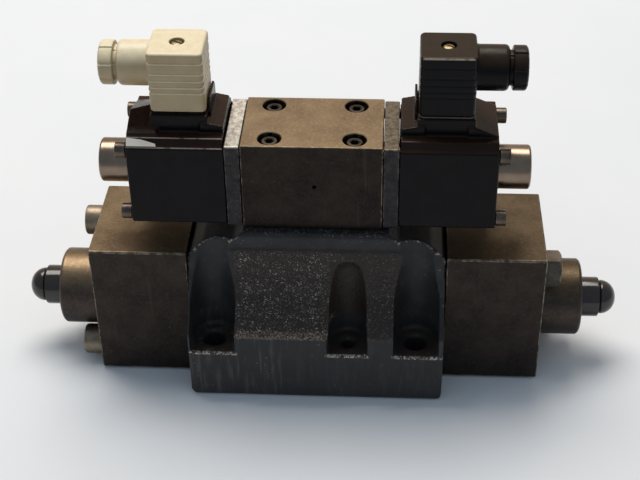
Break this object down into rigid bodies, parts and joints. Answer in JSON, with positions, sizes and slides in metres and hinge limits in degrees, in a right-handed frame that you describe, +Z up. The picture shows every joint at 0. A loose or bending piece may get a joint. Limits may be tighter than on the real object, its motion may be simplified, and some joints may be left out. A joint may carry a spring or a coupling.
{
  "type": "solenoid directional valve",
  "caption": "Pilot-operated directional valve: cast main stage with bolted end caps and stroke limiters, topped by a four-bolt pilot valve with two solenoids and square plugs.",
  "frame": {"origin": "middle of the four large mounting bolts, in the mounting face", "axes": "+X along the spools towards the black plug, +Y away from the viewer, +Z up out of the mounting face"},
  "size_m": [0.307, 0.0954, 0.178],
  "materials": {
    "casting": "black semi-gloss paint over a rough casting, worn at the edges",
    "browned_steel": "browned steel with ground edges",
    "black_steel": "blackened steel screws",
    "bright_steel": "bare turned steel",
    "spring_steel": "spring wire",
    "flange_grey": "dull zinc grey",
    "coil_black": "moulded black plastic",
    "plug_ivory": "ivory plastic, slightly yellowed",
    "plug_black": "black plastic",
    "brass": "brass",
    "rubber": "black rubber",
    "dome_black": "glossy black plastic"
  },
  "bodies": {
    "valve": {"main_body": "casting", "port_seal_p": "rubber", "port_seal_t": "rubber", "port_seal_a": "rubber", "port_seal_b": "rubber", "port_seal_x": "rubber", "port_seal_y": "rubber", "end_cap_left": "browned_steel", "cap_seal_left": "rubber", "cap_bolt_left_top": "black_steel", "cap_bolt_left_bottom": "black_steel", "main_spring_left": "spring_steel", "stroke_housing_left": "browned_steel", "dome_cap_left": "dome_black", "end_cap_right": "browned_steel", "cap_seal_right": "rubber", "cap_bolt_right_top": "black_steel", "cap_bolt_right_bottom": "black_steel", "main_spring_right": "spring_steel", "stroke_housing_right": "browned_steel", "dome_cap_right": "dome_black", "pilot_body": "browned_steel", "pilot_screw_1": "black_steel", "pilot_screw_2": "black_steel", "pilot_screw_3": "black_steel", "pilot_screw_4": "black_steel", "pilot_spring_left": "spring_steel", "flange_plate_left": "flange_grey", "coil_left": "coil_black", "armature_tube_left": "bright_steel", "coil_screw_left_1": "bright_steel", "coil_screw_left_2": "bright_steel", "coil_screw_left_3": "bright_steel", "coil_screw_left_4": "bright_steel", "plug_left": "plug_ivory", "plug_gasket_left": "rubber", "plug_screw_left": "brass", "gland_nut_left": "plug_ivory", "pilot_spring_right": "spring_steel", "flange_plate_right": "flange_grey", "coil_right": "coil_black", "armature_tube_right": "bright_steel", "coil_screw_right_1": "bright_steel", "coil_screw_right_2": "bright_steel", "coil_screw_right_3": "bright_steel", "coil_screw_right_4": "bright_steel", "plug_right": "plug_black", "plug_gasket_right": "rubber", "plug_screw_right": "brass", "gland_nut_right": "plug_black"},
    "main_spool": {"main_spool": "bright_steel", "spring_plate_left": "bright_steel", "spring_plate_right": "bright_steel"},
    "pilot_spool": {"pilot_spool": "bright_steel"},
    "armature_left": {"armature_left": "bright_steel"},
    "armature_right": {"armature_right": "bright_steel"},
    "override_pin_left": {"override_pin_left": "brass"},
    "override_pin_right": {"override_pin_right": "brass"},
    "stroke_screw_left": {"stroke_screw_left": "bright_steel"},
    "stroke_screw_right": {"stroke_screw_right": "bright_steel"}
  },
  "joints": [
    {"name": "main_spool_slide", "type": "slide", "parent": "valve", "child": "main_spool", "axis": [1, 0, 0], "range_m": [-0.007, 0.007], "stiffness_N_per_m": 9000, "deforming": ["main_spring_left", "main_spring_right"]},
    {"name": "pilot_spool_slide", "type": "slide", "parent": "valve", "child": "pilot_spool", "axis": [1, 0, 0], "range_m": [-0.0025, 0.0025], "stiffness_N_per_m": 3000, "deforming": ["pilot_spring_left", "pilot_spring_right"]},
    {"name": "armature_left_slide", "type": "slide", "parent": "valve", "child": "armature_left", "axis": [1, 0, 0], "range_m": [-0.0025, 0.0025]},
    {"name": "override_pin_left_slide", "type": "slide", "parent": "valve", "child": "override_pin_left", "axis": [1, 0, 0], "range_m": [-0.0025, 0.0025]},
    {"name": "armature_right_slide", "type": "slide", "parent": "valve", "child": "armature_right", "axis": [1, 0, 0], "range_m": [-0.0025, 0.0025]},
    {"name": "override_pin_right_slide", "type": "slide", "parent": "valve", "child": "override_pin_right", "axis": [1, 0, 0], "range_m": [-0.0025, 0.0025]},
    {"name": "stroke_screw_left_adjust", "type": "slide", "parent": "valve", "child": "stroke_screw_left", "axis": [-1, 0, 0], "range_m": [0, 0.003]},
    {"name": "stroke_screw_right_adjust", "type": "slide", "parent": "valve", "child": "stroke_screw_right", "axis": [1, 0, 0], "range_m": [0, 0.003]}
  ],
  "couplings": [
    {"joint": "armature_left_slide", "follows": "pilot_spool_slide", "ratio": 1},
    {"joint": "override_pin_left_slide", "follows": "pilot_spool_slide", "ratio": 1},
    {"joint": "armature_right_slide", "follows": "pilot_spool_slide", "ratio": 1},
    {"joint": "override_pin_right_slide", "follows": "pilot_spool_slide", "ratio": 1}
  ]
}
